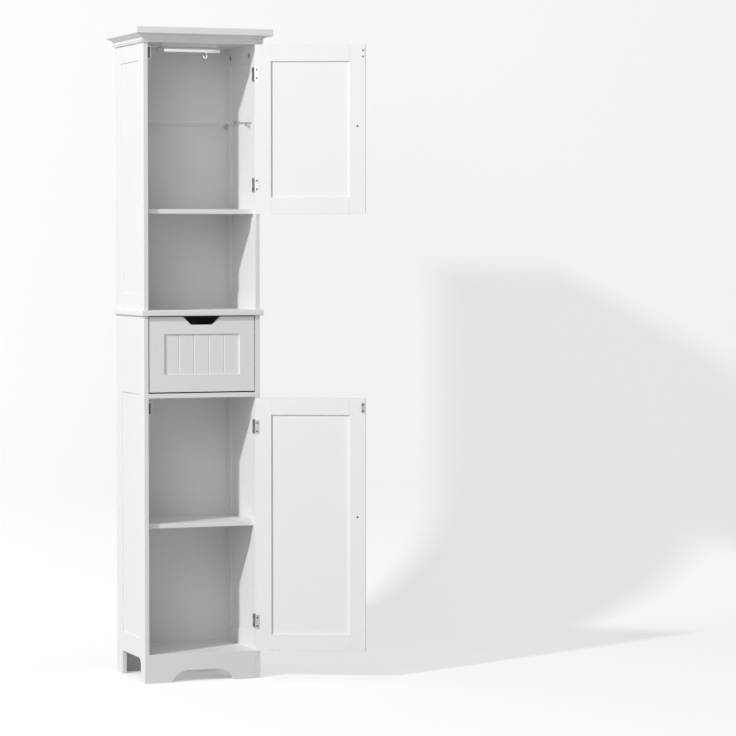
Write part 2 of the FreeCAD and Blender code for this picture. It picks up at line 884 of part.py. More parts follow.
# ---------------------------------------------------------------- doors
def door_point(place):
    """A point of a door's frame as a point of the cabinet's frame, where the door stands open."""
    turn = math.radians(S.door_open_angle.value)
    angle = f"{S.door_open_angle.text} * 1deg"
    cosine = Length(math.cos(turn), f"cos({angle})")
    sine = Length(math.sin(turn), f"sin({angle})")
    x, y, z = place
    return hinge_x + x * cosine - y * sine, hinge_y + x * sine + y * cosine, z


def door_body(label, at=(ZERO, ZERO, ZERO)):
    """A body in a door's own frame: its origin on the hinge axis, turned to where the door stands open.

    In that frame the closed door runs to -X, and its inner face looks to +Y.
    """
    return body(label, door_point(at), S.door_open_angle)


def bead_grooves(left, right, face, depth):
    """V grooves that divide a panel into equal boards, as triangles in the XY plane."""
    grooves = []
    pitch = (right - left) / S.bead_boards
    for number in range(1, int(S.bead_boards.value)):
        x = left + pitch * number
        half = S.bead_groove_width / 2
        grooves.append([(x - half, face), (x + half, face), (x, face + depth)])
    return grooves


def door_stiles(which, low, high):
    """Hinge stile and free stile, grooved for the panel and drilled for hinges, knob and strike."""
    groove_low = door_outer + S.door_panel_setback
    groove_high = groove_low + S.door_panel
    edges = {
        "hinge_stile": (door_edge - S.door_stile, door_edge, -1),
        "free_stile": (door_free, door_free + S.door_stile, 1),
    }
    for name, (left, right, groove_side) in edges.items():
        made = door_body(f"{which}_door_{name}")
        pad(made, "XY", [rectangle(left, door_outer, right, door_inner)], low, high)
        if groove_side < 0:
            groove = rectangle(left, groove_low, left + S.door_groove, groove_high)
        else:
            groove = rectangle(right - S.door_groove, groove_low, right, groove_high)
        cut(made, "XY", [groove], low, high)
        hole = S.screw_radius + S.hole_clearance
        bite = door_inner - S.screw_length
        if name == "hinge_stile":
            x = door_edge - S.hinge_screw_edge
            centres = [(x, z) for h in hinge_heights(which) for z in pair(h, S.hinge_screw_pitch)]
        else:
            centres = [(strike_x, z) for z in pair(strike_height(which), S.strike_screw_pitch)]
            radius = S.knob_screw_radius + S.hole_clearance
            bolt = many_sided(door_free + S.knob_from_edge, knob_height(which), radius)
            cut(made, "XZ", [bolt], door_outer - S.door, door_inner + S.door)
        cut(made, "XZ", [many_sided(x, z, hole) for x, z in centres], bite, door_inner + S.door)


def door_rails(which, low, high):
    """Top and bottom rails with stub tenons in the stiles' grooves, and grooved for the panel."""
    left = door_free + S.door_stile
    right = door_edge - S.door_stile
    groove_low = door_outer + S.door_panel_setback
    groove_high = groove_low + S.door_panel
    for name, base, top, groove_at in (
        ("bottom_rail", low, low + S.door_rail, 1),
        ("top_rail", high - S.door_rail, high, -1),
    ):
        made = door_body(f"{which}_door_{name}")
        pad(made, "XY", [rectangle(left, door_outer, right, door_inner)], base, top)
        tenon = rectangle(left - S.door_groove, groove_low, right + S.door_groove, groove_high)
        pad(made, "XY", [tenon], base, top)
        groove = rectangle(left - S.door_groove, groove_low, right + S.door_groove, groove_high)
        if groove_at > 0:
            cut(made, "XY", [groove], top - S.door_groove, top)
        else:
            cut(made, "XY", [groove], base, base + S.door_groove)


def door_panel(which, low, high):
    """Beadboard panel in the grooves: boarded on the outside, plain inside."""
    reach = S.door_groove - S.panel_clearance
    left = door_free + S.door_stile
    right = door_edge - S.door_stile
    base = low + S.door_rail
    top = high - S.door_rail
    face = door_outer + S.door_panel_setback + S.panel_clearance / 2
    rear = door_outer + S.door_panel_setback + S.door_panel - S.panel_clearance / 2
    made = door_body(f"{which}_door_panel")
    pad(made, "XY", [rectangle(left - reach, face, right + reach, rear)], base - reach, top + reach)
    for groove in bead_grooves(left, right, face, S.bead_groove_depth):
        cut(made, "XY", [groove], base - reach, top + reach)


def on_rim(middle, level):
    """Whether a point is on the widest part of a knob, at a level of its axis."""
    return abs(middle.y - level.value) < 0.1 and math.hypot(middle.x, middle.z) > S.knob_radius.value * 0.9


def door_knob(which):
    """Turned knob on the outer face of the free stile; its own axis points out of the door."""
    x = door_free + S.knob_from_edge
    made = door_body(f"{which}_door_knob", (x, ZERO, knob_height(which)))
    face = door_outer
    tip = face - S.knob_length
    back = face - S.knob_neck_length
    pad(made, "XZ", [many_sided(ZERO, ZERO, S.knob_neck_radius, TURNED_SIDES)], back, face)
    pad(made, "XZ", [many_sided(ZERO, ZERO, S.knob_radius, TURNED_SIDES)], tip, back)
    ease(made, "Chamfer", S.knob_front_chamfer, lambda edge, middle: on_rim(middle, tip))
    ease(made, "Chamfer", S.knob_back_chamfer, lambda edge, middle: on_rim(middle, back))
    socket = many_sided(ZERO, ZERO, S.knob_screw_radius + S.hole_clearance)
    cut(made, "XZ", [socket], face - S.knob_screw_bite, face + S.knob_screw_bite)


def door_hardware(which):
    """Strike plate, hinge leaves and screws that ride on a door."""
    heights = hinge_heights(which)
    leaves = [hinge_door_leaf(f"{which}_door_leaf_{n}", height) for n, height in enumerate(heights)]
    group(f"{which}_door_hinge_leaves", leaves)

    plate = door_body(f"{which}_door_strike_plate", (strike_x, door_inner, strike_height(which)))
    half_x = S.strike_width / 2
    half_z = S.strike_height / 2
    pad(plate, "XZ", [rectangle(-half_x, -half_z, half_x, half_z)], 0, S.strike_plate)
    radius = S.screw_radius + S.hole_clearance
    holes = [many_sided(ZERO, z, radius) for z in pair(ZERO, S.strike_screw_pitch)]
    cut(plate, "XZ", holes, -S.strike_plate, S.strike_plate * 2)

    strike_screws = pair(strike_height(which), S.strike_screw_pitch)
    places = [(strike_x, door_inner + S.strike_plate, z) for z in strike_screws]
    hinge_screw_x = door_edge - S.hinge_screw_edge
    for height in heights:
        places += [(hinge_screw_x, door_inner + S.hinge_leaf, z) for z in pair(height, S.hinge_screw_pitch)]
    screws = []
    for number, place in enumerate(places):
        screws.append(screw(f"{which}_door_screw_{number}", door_point(place), S.door_open_angle))
    group(f"{which}_door_screws", screws)

    at = door_point((door_free + S.knob_from_edge, door_inner, knob_height(which)))
    grip = S.door + S.knob_screw_bite - S.hole_clearance * 5
    screw(f"{which}_door_knob_screw", at, S.door_open_angle, S.knob_screw_radius, grip)


def doors():
    """Both doors, each a frame of four pieces round a panel."""
    for which, (low, high) in DOORS.items():
        door_stiles(which, low, high)
        door_rails(which, low, high)
        door_panel(which, low, high)
        door_knob(which)
        door_hardware(which)


# ---------------------------------------------------------------- drawer
drawer_face_y = front_y + S.drawer_setback
drawer_rear_y = drawer_face_y + S.drawer_front
drawer_low = S.divider_height + S.board + S.drawer_lower_gap
drawer_high = S.waist_height - S.drawer_gap
drawer_half = inner_x - S.drawer_gap
drawer_side_x = inner_x - S.runner_space
box_low = drawer_low + S.drawer_box_lift
runner_low = drawer_low + S.runner_above_front


def drawer_front():
    """Framed front with a hand cut-out in its top edge, rebated from behind for the beadboard."""
    made = body("drawer_front_frame", (0, drawer_face_y, 0))
    top_half = S.grip_top_width / 2
    low_half = S.grip_bottom_width / 2
    floor = drawer_high - S.grip_depth
    lean = math.atan2((top_half - low_half).value, S.grip_depth.value)
    tangent = S.grip_round * math.tan((math.pi / 2 - lean) / 2)
    along_x = tangent * math.sin(lean)
    along_z = tangent * math.cos(lean)
    outline = [
        (-drawer_half, drawer_low),
        (drawer_half, drawer_low),
        (drawer_half, drawer_high),
        (top_half, drawer_high),
        (low_half + along_x, floor + along_z),
        (low_half - tangent, floor, -S.grip_round),
        (-low_half + tangent, floor),
        (-low_half - along_x, floor + along_z, -S.grip_round),
        (-top_half, drawer_high),
        (-drawer_half, drawer_high),
    ]
    pad(made, "XZ", [outline], 0, S.drawer_front)
    x = drawer_half - S.drawer_stile
    low = drawer_low + S.drawer_rail
    high = drawer_high - S.drawer_rail
    cut(made, "XZ", [rectangle(-x, low, x, high)], -1, S.drawer_front + 1)
    rebate = S.drawer_rebate
    cut(
        made,
        "XZ",
        [rectangle(-x - rebate, low - rebate, x + rebate, high + rebate)],
        S.drawer_recess,
        S.drawer_front + 1,
    )
    panel = body("drawer_front_beadboard", (0, drawer_face_y + S.drawer_recess, 0))
    reach = rebate - S.panel_clearance
    pad(panel, "XY", [rectangle(-x - reach, 0, x + reach, S.drawer_beadboard)], low - reach, high + reach)
    for groove in bead_grooves(-x, x, ZERO, S.bead_groove_depth):
        cut(panel, "XY", [groove], low - reach, high + reach)


def drawer_box():
    """Two sides, a back and a thin bottom held in grooves."""
    outer = drawer_side_x
    inner = outer - S.drawer_side
    rear = drawer_rear_y + S.drawer_box_length
    high = box_low + S.drawer_box_height
    bottom_z = box_low + S.drawer_bottom_lift
    groove = S.drawer_side / 2
    slot_high = bottom_z + S.drawer_bottom + S.groove_clearance
    for hand, name in ((-1, "left"), (1, "right")):
        made = body(f"drawer_{name}_side", (0, 0, 0))
        edges = span(outer * hand, inner * hand)
        pad(made, "XY", [rectangle(edges[0], drawer_rear_y, edges[1], rear)], box_low, high)
        slot = span(inner * hand, (inner + groove) * hand)
        slot = rectangle(slot[0], bottom_z, slot[1], slot_high)
        cut(made, "XZ", [slot], drawer_rear_y, rear - S.drawer_side / 2)
    extent = (inner * 2, S.drawer_side, S.drawer_box_height)
    back = board("drawer_back", (-inner, rear - S.drawer_side, box_low), extent)
    slot = rectangle(-1, S.drawer_bottom_lift, groove, slot_high - box_low)
    cut(back, "YZ", [slot], -1, inner * 2 + 1)
    reach = inner + groove - S.groove_clearance
    deep = S.drawer_box_length - S.drawer_side / 2 - S.groove_clearance
    board("drawer_bottom", (-reach, drawer_rear_y, bottom_z), (reach * 2, deep, S.drawer_bottom))


def channel(x_web, x_open, low, high, plate):
    """C-shaped section in the XZ plane, its web at x_web and its mouth at x_open."""
    inward = plate if x_open.value > x_web.value else -plate
    return [
        (x_web, low),
        (x_open, low),
        (x_open, low + plate),
        (x_web + inward, low + plate),
        (x_web + inward, high - plate),
        (x_open, high - plate),
        (x_open, high),
        (x_web, high),
    ]


def drawer_runners():
    """C channels on the sides, and the smaller channels on the drawer that slide inside them."""
    plate = S.runner_plate
    play = S.runner_play
    start = drawer_rear_y
    end = start + S.runner_length
    high = runner_low + S.runner_height
    moving = []
    for hand, name in ((-1, "left"), (1, "right")):
        fixed = body(f"{name}_drawer_runner")
        mouth = drawer_side_x + plate + play * 2
        section = channel(inner_x * hand, mouth * hand, runner_low, high, plate)
        pad(fixed, "XZ", [section], start + play, end)
        slider = body(f"slider_{name}")
        tip = inner_x - plate - play
        low = runner_low + plate + play
        section = channel(drawer_side_x * hand, tip * hand, low, high - plate - play, plate)
        pad(slider, "XZ", [section], start + play, end)
        moving.append(slider)
    group("drawer_sliders", moving)


# ---------------------------------------------------------------- build, check and write
def build():
    """Makes every sub-part."""
    for hand in (-1, 1):
        for section in ("lower", "upper"):
            side(hand, section)
    plinth_board()
    shelves()
    waist_board()
    top_boards()
    crown_mouldings()
    glass_shelf()
    glass_shelf_pins()
    cam_locks()
    ceiling_bar()
    cabinet_hinge_parts()
    magnetic_catches()
    doors()
    drawer_front()
    drawer_box()
    drawer_runners()
    doc.recompute()


def write_parts():
    """Checks every object and writes each sub-part to its own file."""
    for thing in doc.Objects:
        if "Invalid" in thing.State or "Error" in thing.State:
            raise RuntimeError(f"{thing.Label}: {thing.State}")
    groups = [o for o in doc.Objects if o.TypeId == "Part::Compound"]
    members = {member.Name for g in groups for member in g.Links}
    bodies = [o for o in doc.Objects if o.TypeId == "PartDesign::Body" and o.Name not in members]
    os.makedirs("parts", exist_ok=True)
    for thing in bodies + groups:
        if thing.Shape.isNull() or not thing.Shape.isValid():
            raise RuntimeError(f"{thing.Label}: bad shape")
        thing.Shape.exportStep(f"parts/{thing.Label}.step")
    print(len(bodies + groups), "sub-parts written")


build()
write_parts()
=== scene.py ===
# %% [markdown]
# # A tall bathroom cabinet, dressed in Blender
#
# The cabinet comes from CAD as solid boards, hinges, screws and a sheet of glass. Here it gets what a CAD solid
# lacks: softened edges, a fine moulding, turned knobs, cross-headed screws, paint, metal and light. Nothing is
# moved. Every new piece sits where its CAD solid is, and rides on the same door, drawer or carcass.

# %% Load the cabinet as a fixed frame
import json
import math

import bmesh
import bpy
from mathutils import Matrix, Vector


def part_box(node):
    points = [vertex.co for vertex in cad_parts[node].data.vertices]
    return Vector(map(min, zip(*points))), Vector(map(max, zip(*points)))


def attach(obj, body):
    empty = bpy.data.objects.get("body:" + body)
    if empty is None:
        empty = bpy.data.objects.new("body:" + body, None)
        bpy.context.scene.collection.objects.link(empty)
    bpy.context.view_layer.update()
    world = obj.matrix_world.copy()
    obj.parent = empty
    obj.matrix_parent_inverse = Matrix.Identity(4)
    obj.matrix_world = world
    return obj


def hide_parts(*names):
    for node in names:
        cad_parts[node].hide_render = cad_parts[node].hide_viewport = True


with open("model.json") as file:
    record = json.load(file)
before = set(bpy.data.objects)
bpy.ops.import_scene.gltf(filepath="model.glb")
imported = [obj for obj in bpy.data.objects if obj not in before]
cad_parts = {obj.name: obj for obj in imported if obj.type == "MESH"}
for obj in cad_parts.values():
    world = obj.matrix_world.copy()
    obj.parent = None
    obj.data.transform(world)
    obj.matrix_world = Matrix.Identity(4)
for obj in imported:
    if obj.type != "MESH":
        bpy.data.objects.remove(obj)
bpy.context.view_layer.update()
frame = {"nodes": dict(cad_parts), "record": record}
nodes = frame["nodes"]
body_of = {name: body for body, names in frame["record"]["behaviour"]["bodies"].items() for name in names}
slot_of = {row["node"]: row["material_slot"] for row in frame["record"]["subparts"]}

# %% [markdown]
# ## The camera
#
# The photograph was taken from about eight metres away, to the left of the cabinet, with a long lens. A long
# lens keeps upright edges nearly parallel, which is why furniture is often shown this way. The camera could be
# aimed with a constraint, but a direction worked out from two angles is easier to read and to change.

# %% Camera
scene = bpy.context.scene
camera_place = Vector((-2.43673, -7.84836, 1.14304))
camera_yaw, camera_pitch = math.radians(20.88), math.radians(-2.33)

camera = bpy.data.objects.new("camera", bpy.data.cameras.new("camera"))
camera.data.sensor_width = 36
camera.data.lens = 149.78
camera.data.clip_end = 60
level = math.cos(camera_pitch)
looking = Vector((math.sin(camera_yaw) * level, math.cos(camera_yaw) * level, math.sin(camera_pitch)))
camera.location = camera_place
camera.rotation_euler = looking.to_track_quat("-Z", "Y").to_euler()
scene.collection.objects.link(camera)
scene.camera = camera
scene.view_settings.view_transform = "Standard"
print("camera", [round(v, 3) for v in camera.location], "lens", camera.data.lens)

# %% [markdown]
# ## Light
#
# The cabinet is white on a nearly white ground, so only light and shade describe it. The left side is brightest,
# the open doors come next, and the front edges are grey. A strong lamp high on the left, a little in front, does
# that. It is far away, so its shadow edge on the right inner wall has the same slant in every compartment, as
# sunlight's would. A lamp close by could match one compartment, but not the next. A broad weak lamp nearer to
# the camera reaches the backs of the shelves. One lamp alone would leave the backs flat and equally dark.

# %% Lamps
def add_lamp(name, shape, size, watts, target, towards, distance):
    """An area lamp at a distance from a target, aimed at it."""
    lamp = bpy.data.objects.new(name, bpy.data.lights.new(name, "AREA"))
    lamp.data.shape = shape
    lamp.data.size = size
    lamp.data.energy = watts
    direction = Vector(towards).normalized()
    lamp.location = Vector(target) + direction * distance
    lamp.rotation_euler = direction.to_track_quat("Z", "Y").to_euler()
    scene.collection.objects.link(lamp)
    print(name, "at", [round(v, 2) for v in lamp.location])


add_lamp("key_lamp", shape="DISK", size=0.7, watts=1360,
         target=(0, -0.13, 1.1), towards=(-0.796, -0.398, 0.460), distance=14.0)
add_lamp("broad_lamp", shape="SQUARE", size=1.6, watts=18,
         target=(0, -0.2, 1.3), towards=(-0.55, -0.78, 0.28), distance=3.3)

# %% [markdown]
# ## The air around
#
# The world fills what the lamps leave, and it has to be weak, or the shade inside the cupboards would vanish.
# Chrome and glass show the world itself, though, and a real studio is white. So the world is weak as a light
# and white as a sight. The Light Path node tells which of the two a ray asks for. A white card round the
# cabinet could do the same, but it would also send its light back into the shade.

# %% Node helpers
def feed(tree, socket, value):
    """Gives a socket a link from another node, or a plain value."""
    if isinstance(value, bpy.types.NodeSocket):
        tree.links.new(value, socket)
    else:
        socket.default_value = value


def add_node(tree, kind, values=(), **settings):
    """A node with its settings; values says by an input's name or number what feeds it."""
    node = tree.nodes.new(kind)
    for label, value in settings.items():
        setattr(node, label, value)
    for label, value in dict(values).items():
        feed(tree, node.inputs[label], value)
    return node


def maths(tree, operation, first, second):
    """The result of a Math node."""
    return add_node(tree, "ShaderNodeMath", {0: first, 1: second}, operation=operation).outputs[0]


def tint(tree, blend_type, factor, first, second):
    """The colour of a Mix node."""
    feeds = {0: factor, 6: first, 7: second}
    return add_node(tree, "ShaderNodeMix", feeds, data_type="RGBA", blend_type=blend_type).outputs[2]


def mixed(tree, share, first, second):
    """Two shaders mixed; a share of 0 gives the first and 1 the second."""
    return add_node(tree, "ShaderNodeMixShader", {0: share, 1: first, 2: second}).outputs[0]


# %% World
fill_strength, seen_colour = 0.31, (0.96, 0.96, 0.965, 1)

world = bpy.data.worlds.new("studio_air")
scene.world = world
world.use_nodes = True
air = world.node_tree
air.nodes.clear()
fill = add_node(air, "ShaderNodeBackground", {"Color": (1, 1, 1, 1), "Strength": fill_strength})
ground = add_node(air, "ShaderNodeBackground", {"Color": seen_colour, "Strength": 1.0})
ray = air.nodes.new("ShaderNodeLightPath").outputs
mirrored = maths(air, "MAXIMUM", ray["Is Camera Ray"], ray["Is Glossy Ray"])
straight = maths(air, "MAXIMUM", mirrored, ray["Is Transmission Ray"])
add_node(air, "ShaderNodeOutputWorld", {0: mixed(air, straight, fill.outputs[0], ground.outputs[0])})
print("world strength", fill_strength)

# %% [markdown]
# ## The studio sweep
#
# A photographer's sweep is one sheet that runs along the floor and curves up behind the object, so that no
# corner shows. It could be two planes, but their corner would draw a line. Here the sheet is a profile of
# points pushed sideways. Its paint is partly a plain white, seen only by the camera and by reflections, so the
# ground stays pale while the cabinet's shadow still falls on it. To the cabinet it is a middle grey, which
# keeps the undersides of the crown and the shelves dark. Under the cabinet, where the sheet is shut in from
# above, the plain white fades, so the arch of the plinth shows shade. From behind, the sheet is clear.

# %% Sweep
def link_piece(name, mesh):
    """Puts a mesh into the scene under a name."""
    piece = bpy.data.objects.new(name, mesh)
    scene.collection.objects.link(piece)
    return piece


def arc(start, end, steps):
    """Angles from start to end in equal steps, both ends included."""
    return [start + (end - start) * step / steps for step in range(steps + 1)]


def sweep_profile(wall_y, bend, top, near):
    """Points (y, z) from the near end of the floor, round the bend and up the wall."""
    round_bend = [(wall_y - bend + bend * math.sin(turn), bend - bend * math.cos(turn))
                  for turn in arc(0, math.pi / 2, 24)]
    return [(near, 0.0), *round_bend, (wall_y, top)]


def sweep_mesh(points, half_width):
    """A sheet that follows the points and runs from side to side."""
    mesh = bpy.data.meshes.new("studio_sweep")
    verts = [(x, y, z) for y, z in points for x in (-half_width, half_width)]
    faces = [(2 * i, 2 * i + 1, 2 * i + 3, 2 * i + 2) for i in range(len(points) - 1)]
    mesh.from_pydata(verts, [], faces)
    mesh.shade_smooth()
    return mesh


profile = sweep_profile(wall_y=0.62, bend=0.42, top=5.0, near=-14.0)
sweep = link_piece("studio_sweep", sweep_mesh(profile, half_width=9.0))
print("sweep faces", len(sweep.data.polygons), "first normal", [round(v, 2) for v in sweep.data.polygons[0].normal])

# %% Sweep paper
seen_grey, bounced_grey = (0.94, 0.94, 0.94, 1), (0.56, 0.56, 0.56, 1)
glow_share, glow_strength = 0.5, 1.22
shade_reach, least_glow = 0.12, 0.40
shut_in, open_air = 0.1, 0.5

sheet = bpy.data.materials.new("sweep_paper")
sheet.use_nodes = True
tree = sheet.node_tree
tree.nodes.clear()
ray = tree.nodes.new("ShaderNodeLightPath").outputs
grey = tint(tree, "MIX", ray["Is Camera Ray"], bounced_grey, seen_grey)
paper = add_node(tree, "ShaderNodeBsdfDiffuse", {"Color": grey})
glow = add_node(tree, "ShaderNodeEmission", {"Color": (1, 1, 1, 1), "Strength": glow_strength})
clear = tree.nodes.new("ShaderNodeBsdfTransparent")

openness = add_node(tree, "ShaderNodeAmbientOcclusion", {"Distance": shade_reach}).outputs["AO"]
fade = add_node(tree, "ShaderNodeMapRange", {"Value": openness, "From Min": shut_in, "From Max": open_air,
                                             "To Min": least_glow, "To Max": 1.0}).outputs[0]
straight = maths(tree, "MAXIMUM", ray["Is Camera Ray"], ray["Is Glossy Ray"])
share = maths(tree, "MULTIPLY", maths(tree, "MULTIPLY", straight, glow_share), fade)
lit = mixed(tree, share, paper.outputs[0], glow.outputs[0])
behind = tree.nodes.new("ShaderNodeNewGeometry").outputs["Backfacing"]
add_node(tree, "ShaderNodeOutputMaterial", {0: mixed(tree, behind, lit, clear.outputs[0])})
sweep.data.materials.append(sheet)
print("paper nodes", len(tree.nodes))

# %% [markdown]
# ## Shared effects
#
# Three effects come back in several finishes, so each is a node group with named inputs. Sprayed paint has a
# faint orange peel and dries a little unevenly. Satin metal has a fine grain that runs one way. Dust settles on
# whatever faces up. Each could be a picture laid on the surface, but pictures need unwrapping and blur when the
# camera comes close. Noise has a real size in millimetres, and stays sharp.

# %% Group and noise helpers
FLOAT, COLOUR = "NodeSocketFloat", "NodeSocketColor"


def new_group(title, inputs, outputs):
    """An empty shader group with named sockets; returns it with its two end nodes."""
    group = bpy.data.node_groups.new(title, "ShaderNodeTree")
    for label, kind, value in inputs:
        socket = group.interface.new_socket(label, in_out="INPUT", socket_type=kind)
        socket.default_value = value
    for label, kind in outputs:
        group.interface.new_socket(label, in_out="OUTPUT", socket_type=kind)
    return group, group.nodes.new("NodeGroupInput"), group.nodes.new("NodeGroupOutput")


def noise(tree, scale, detail, stretch=None):
    """Noise in the cabinet's own metres, stretched along its axes where a grain is wanted."""
    place = tree.nodes.new("ShaderNodeTexCoord").outputs["Object"]
    if stretch:
        place = add_node(tree, "ShaderNodeMapping", {"Vector": place, "Scale": stretch}).outputs[0]
    return add_node(tree, "ShaderNodeTexNoise", {"Vector": place, "Scale": scale, "Detail": detail}).outputs["Fac"]


# %% Sprayed paint
dull_patch, dry_spots = (0.55, 0.56, 0.58, 1), 0.12

paint_group, start, end = new_group(
    "Sprayed paint",
    [("Colour", COLOUR, (0.85, 0.85, 0.85, 1)), ("Peel scale", FLOAT, 700.0), ("Unevenness", FLOAT, 0.03),
     ("Roughness", FLOAT, 0.42)],
    [("Colour", COLOUR), ("Roughness", FLOAT), ("Height", FLOAT)],
)
cloud = noise(paint_group, 5.0, 4.0)
shade = maths(paint_group, "MULTIPLY", cloud, start.outputs["Unevenness"])
spread = maths(paint_group, "ADD", start.outputs["Roughness"], maths(paint_group, "MULTIPLY", cloud, dry_spots))
feed(paint_group, end.inputs["Colour"],
     tint(paint_group, "MIX", shade, start.outputs["Colour"], dull_patch))
feed(paint_group, end.inputs["Roughness"], spread)
feed(paint_group, end.inputs["Height"], noise(paint_group, start.outputs["Peel scale"], 1.0))
print(paint_group.name, "with", len(paint_group.nodes), "nodes")

# %% Brushed grain
groove, stain_spread = (0.35, 0.34, 0.33, 1), 0.2

grain_group, start, end = new_group(
    "Brushed grain",
    [("Colour", COLOUR, (0.6, 0.6, 0.6, 1)), ("Contrast", FLOAT, 0.25), ("Roughness", FLOAT, 0.3)],
    [("Colour", COLOUR), ("Roughness", FLOAT), ("Height", FLOAT)],
)
lines = noise(grain_group, 900.0, 3.0, stretch=(6.0, 6.0, 0.35))
stain = noise(grain_group, 120.0, 3.0)
depth = maths(grain_group, "MULTIPLY", lines, start.outputs["Contrast"])
spread = maths(grain_group, "ADD", start.outputs["Roughness"], maths(grain_group, "MULTIPLY", stain, stain_spread))
feed(grain_group, end.inputs["Colour"],
     tint(grain_group, "MULTIPLY", depth, start.outputs["Colour"], groove))
feed(grain_group, end.inputs["Roughness"], spread)
feed(grain_group, end.inputs["Height"], lines)
print(grain_group.name, "with", len(grain_group.nodes), "nodes")

# %% Settled dust
dust_grey, facing_up = (0.62, 0.60, 0.57, 1), 0.9

dust_group, start, end = new_group(
    "Settled dust",
    [("Colour", COLOUR, (0.8, 0.8, 0.8, 1)), ("Roughness", FLOAT, 0.4), ("Amount", FLOAT, 0.2)],
    [("Colour", COLOUR), ("Roughness", FLOAT)],
)
normal = dust_group.nodes.new("ShaderNodeNewGeometry").outputs["Normal"]
height = add_node(dust_group, "ShaderNodeSeparateXYZ", {0: normal}).outputs["Z"]
upward = maths(dust_group, "GREATER_THAN", height, facing_up)
specks = maths(dust_group, "MULTIPLY", noise(dust_group, 240.0, 5.0), upward)
laid = maths(dust_group, "MULTIPLY", specks, start.outputs["Amount"])
feed(dust_group, end.inputs["Colour"],
     tint(dust_group, "MIX", laid, start.outputs["Colour"], dust_grey))
feed(dust_group, end.inputs["Roughness"], maths(dust_group, "ADD", start.outputs["Roughness"], laid))
print(dust_group.name, "with", len(dust_group.nodes), "nodes")

# %% [markdown]
# ## Finishes
#
# The boards are fibreboard under satin white lacquer, and the backs are thin hardboard with a duller coat.
# The fittings are stamped steel under nickel or zinc. Every finish is one Principled shader, because that one
# survives a move to other programs. Its colour, roughness and bump come from the groups above, and whatever is
# the same all over is set on the shader itself.

# %% Material helpers
peel_depth, grain_depth = 0.0004, 0.0002


def place_group(tree, group, **values):
    """A group in a material, with its inputs fed by name (spaces written as _)."""
    feeds = {label.replace("_", " "): value for label, value in values.items()}
    return add_node(tree, "ShaderNodeGroup", feeds, node_tree=group)


def new_finish(name, **plain):
    """A material with one Principled shader, its plain values set by name (spaces written as _)."""
    material = bpy.data.materials.new(name)
    material.use_nodes = True
    shader = material.node_tree.nodes["Principled BSDF"]
    for label, value in plain.items():
        shader.inputs[label.replace("_", " ")].default_value = value
    return material, material.node_tree, shader


def connect(tree, shader, coat, height, strength, distance):
    """Feeds a shader's colour and roughness from one group, and its normal from a height."""
    feed(tree, shader.inputs["Base Color"], coat.outputs["Colour"])
    feed(tree, shader.inputs["Roughness"], coat.outputs["Roughness"])
    bump = add_node(tree, "ShaderNodeBump", {"Strength": strength, "Distance": distance, "Height": height})
    feed(tree, shader.inputs["Normal"], bump.outputs["Normal"])


def painted(name, colour, roughness, peel_scale, peel, unevenness, dust):
    """A painted or moulded finish: uneven colour, orange peel and dust on what faces up."""
    material, tree, shader = new_finish(name)
    coat = place_group(tree, paint_group, Colour=(*colour, 1), Peel_scale=peel_scale, Unevenness=unevenness,
                       Roughness=roughness)
    film = place_group(tree, dust_group, Colour=coat.outputs["Colour"], Roughness=coat.outputs["Roughness"],
                       Amount=dust)
    connect(tree, shader, film, coat.outputs["Height"], peel, peel_depth)
    return material


def metallic(name, colour, roughness, contrast, scratch):
    """A satin metal finish with a fine grain."""
    material, tree, shader = new_finish(name, Metallic=1.0)
    grain = place_group(tree, grain_group, Colour=(*colour, 1), Contrast=contrast, Roughness=roughness)
    connect(tree, shader, grain, grain.outputs["Height"], scratch, grain_depth)
    return material


# %% The finishes of this cabinet
# painted: colour, roughness, scale and strength of the peel, unevenness, dust
# metallic: colour, roughness, contrast and strength of the grain
finishes = {
    "white_paint": painted("satin_white_lacquer", (0.85, 0.85, 0.845), 0.38, 650.0, 0.10, 0.05, 0.10),
    "white_hardboard": painted("white_hardboard_back", (0.82, 0.82, 0.815), 0.55, 1400.0, 0.22, 0.08, 0.0),
    "runner_steel": painted("powder_coated_runner", (0.80, 0.80, 0.79), 0.45, 2200.0, 0.25, 0.04, 0.15),
    "catch_plastic": painted("moulded_catch_plastic", (0.78, 0.78, 0.76), 0.40, 1800.0, 0.12, 0.04, 0.05),
    "rail_plastic": painted("glossy_rail_plastic", (0.88, 0.88, 0.88), 0.18, 500.0, 0.05, 0.02, 0.0),
    # socket: grey as painted shade, for the shadow of the left side on the bar's end
    "socket": painted("bar_socket_painted_shade", (0.62, 0.62, 0.62), 0.35, 500.0, 0.05, 0.02, 0.0),
    "ferrite": painted("dark_ferrite_magnet", (0.15, 0.147, 0.143), 0.55, 2600.0, 0.4, 0.2, 0.0),
    "nickel": metallic("satin_nickel", (0.62, 0.60, 0.57), 0.24, 0.25, 0.10),
    "hinge_steel": metallic("stamped_hinge_steel", (0.62, 0.61, 0.59), 0.20, 0.25, 0.20),
    "screw_steel": metallic("zinc_screw_steel", (0.17, 0.17, 0.168), 0.34, 0.5, 0.15),
    "bar_chrome": metallic("bright_chrome_bar", (0.93, 0.93, 0.94), 0.06, 0.06, 0.02),
    "strike_steel": metallic("zinc_strike_plate", (0.56, 0.56, 0.56), 0.18, 0.35, 0.15),
    "pin_steel": metallic("nickel_shelf_pin", (0.66, 0.66, 0.65), 0.28, 0.3, 0.10),
    "zinc": metallic("cast_zinc_cam", (0.55, 0.55, 0.55), 0.42, 0.5, 0.35),
}
print(len(finishes), "painted and metal finishes")

# %% [markdown]
# ## Hinge barrels
#
# The rolled barrel of a hinge is painted darker than its leaves: painted shade for the shadowed gap between door
# and side in which it stands. Barrels and leaves are one finish, so the barrel is found by its distance from the
# pins' axis. A second material on the barrel's faces would do too, but those faces would have to be picked first.

# %% Painted shade on the barrels
# The barrel's darker colour is painted shade for the shadowed gap it stands in.
barrel_axis, barrel_radius, barrel_shade_colour = (0.145, -0.254, 0), 0.0033, (0.15, 0.148, 0.145, 1)


